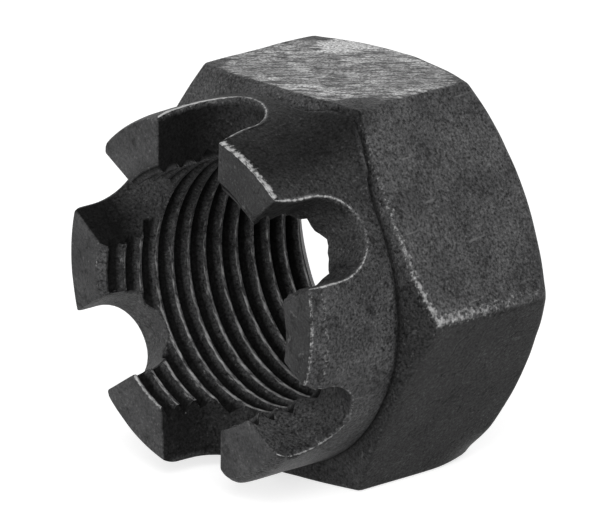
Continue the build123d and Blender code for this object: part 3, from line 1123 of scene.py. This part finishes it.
def pale_ground(look):
    """Plain pale floor. Eye, gloss and glass see it lit up to white; only the nut's shadow
    stays on it."""
    material = bpy.data.materials.new("pale_ground")
    wire = emptied(material)
    paper = wire.node("ShaderNodeBsdfDiffuse", {"Color": (*look.ground, 1)}).outputs[0]
    white = wire.node("ShaderNodeEmission", {"Color": WHITE, "Strength": look.ground_lift}).outputs[0]
    lit = wire.node("ShaderNodeAddShader", {0: paper, 1: white}).outputs[0]
    seen = wire.node("ShaderNodeMixShader", {0: seen_directly(wire), 1: paper, 2: lit}).outputs[0]
    wire.end_in("ShaderNodeOutputMaterial", seen)
    return material


def soft_room(look):
    """A world that lights the nut evenly and is seen as plain white."""
    world = bpy.data.worlds.new("soft_room")
    wire = emptied(world)
    room = wire.node("ShaderNodeBackground", {"Color": WHITE, "Strength": look.fill_strength}).outputs[0]
    white = wire.node("ShaderNodeBackground", {"Color": WHITE, "Strength": 1.0}).outputs[0]
    seen = wire.node("ShaderNodeMixShader", {0: seen_directly(wire), 1: room, 2: white}).outputs[0]
    wire.end_in("ShaderNodeOutputWorld", seen)
    return world


# ---- stage ------------------------------------------------------------------------------

def pale_floor(look):
    """A square floor under the flat that the nut lies on."""
    reach = look.floor_reach
    corners = [(-reach, -reach, LOW.z), (reach, -reach, LOW.z), (reach, reach, LOW.z), (-reach, reach, LOW.z)]
    mesh = bpy.data.meshes.new("floor")
    mesh.from_pydata(corners, [], [(0, 1, 2, 3)])
    mesh.materials.append(pale_ground(look))
    return bpy.data.objects.new("floor", mesh)


def lamp_above(look):
    """A square lamp above the castle end."""
    lamp = bpy.data.lights.new("lamp_above", "AREA")
    lamp.size = look.lamp_size
    lamp.energy = look.key_strength
    above = bpy.data.objects.new("lamp_above", lamp)
    above.location = look.lamp_place
    above.rotation_euler = look.lamp_turn
    return above


def distant_camera(look):
    """A camera far from the nut, with a long lens."""
    camera = bpy.data.cameras.new("camera")
    camera.lens = look.lens / MM
    camera.clip_start = 0.01
    camera.clip_end = 10
    eye = bpy.data.objects.new("camera", camera)
    eye.location = look.eye
    eye.rotation_euler = look.gaze
    return eye


# ---- operators ---------------------------------------------------------------------------

class CASTLENUT_OT_nut(Operator):
    """Forge the nut, cut its thread and blacken it"""
    bl_idname = "castlenut.nut"
    bl_label = "Castle nut"

    def execute(self, context):
        scene = context.scene
        piece = forge_nut(scene.nut_sizes, scene.nut_forging, scene.nut_rubbed)
        piece.data.materials.append(black_steel(scene.nut_finish))
        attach(piece, "root")
        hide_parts(NODE)
        return {"FINISHED"}


class CASTLENUT_OT_stage(Operator):
    """Lay the pale floor, hang the lamp and set the camera"""
    bl_idname = "castlenut.stage"
    bl_label = "Stage"

    def execute(self, context):
        scene = context.scene
        look = scene.nut_stage
        floor, camera = pale_floor(look), distant_camera(look)
        for thing in (floor, lamp_above(look), camera):
            scene.collection.objects.link(thing)
        scene.camera = camera
        scene.world = soft_room(look)
        scene.view_settings.view_transform = "Standard"
        return {"FINISHED"}


class CASTLENUT_PT_sidebar(Panel):
    """Lists the nut's sizes and finish, and makes it"""
    bl_idname = "CASTLENUT_PT_sidebar"
    bl_label = "Castle nut"
    bl_space_type = "VIEW_3D"
    bl_region_type = "UI"
    bl_category = "Castle nut"

    def draw(self, context):
        layout = self.layout
        for setting, kind in SETTINGS.items():
            box = layout.box()
            for name in kind.__annotations__:
                box.prop(getattr(context.scene, setting), name)
        layout.operator(CASTLENUT_OT_nut.bl_idname)
        layout.operator(CASTLENUT_OT_stage.bl_idname)


SETTINGS = {"nut_sizes": NutSizes, "nut_forging": ForgingSizes, "nut_rubbed": WearAndPaintedLight,
            "nut_finish": OxideFinish, "nut_stage": StageSettings}
CLASSES = (*SETTINGS.values(), CASTLENUT_OT_nut, CASTLENUT_OT_stage, CASTLENUT_PT_sidebar)


def register():
    for made in CLASSES:
        bpy.utils.register_class(made)
    for name, kind in SETTINGS.items():
        setattr(bpy.types.Scene, name, PointerProperty(type=kind))


def unregister():
    for name in SETTINGS:
        delattr(bpy.types.Scene, name)
    for made in reversed(CLASSES):
        bpy.utils.unregister_class(made)


def main():
    register()
    bpy.ops.castlenut.nut()
    bpy.ops.castlenut.stage()


if __name__ == "__main__":
    main()
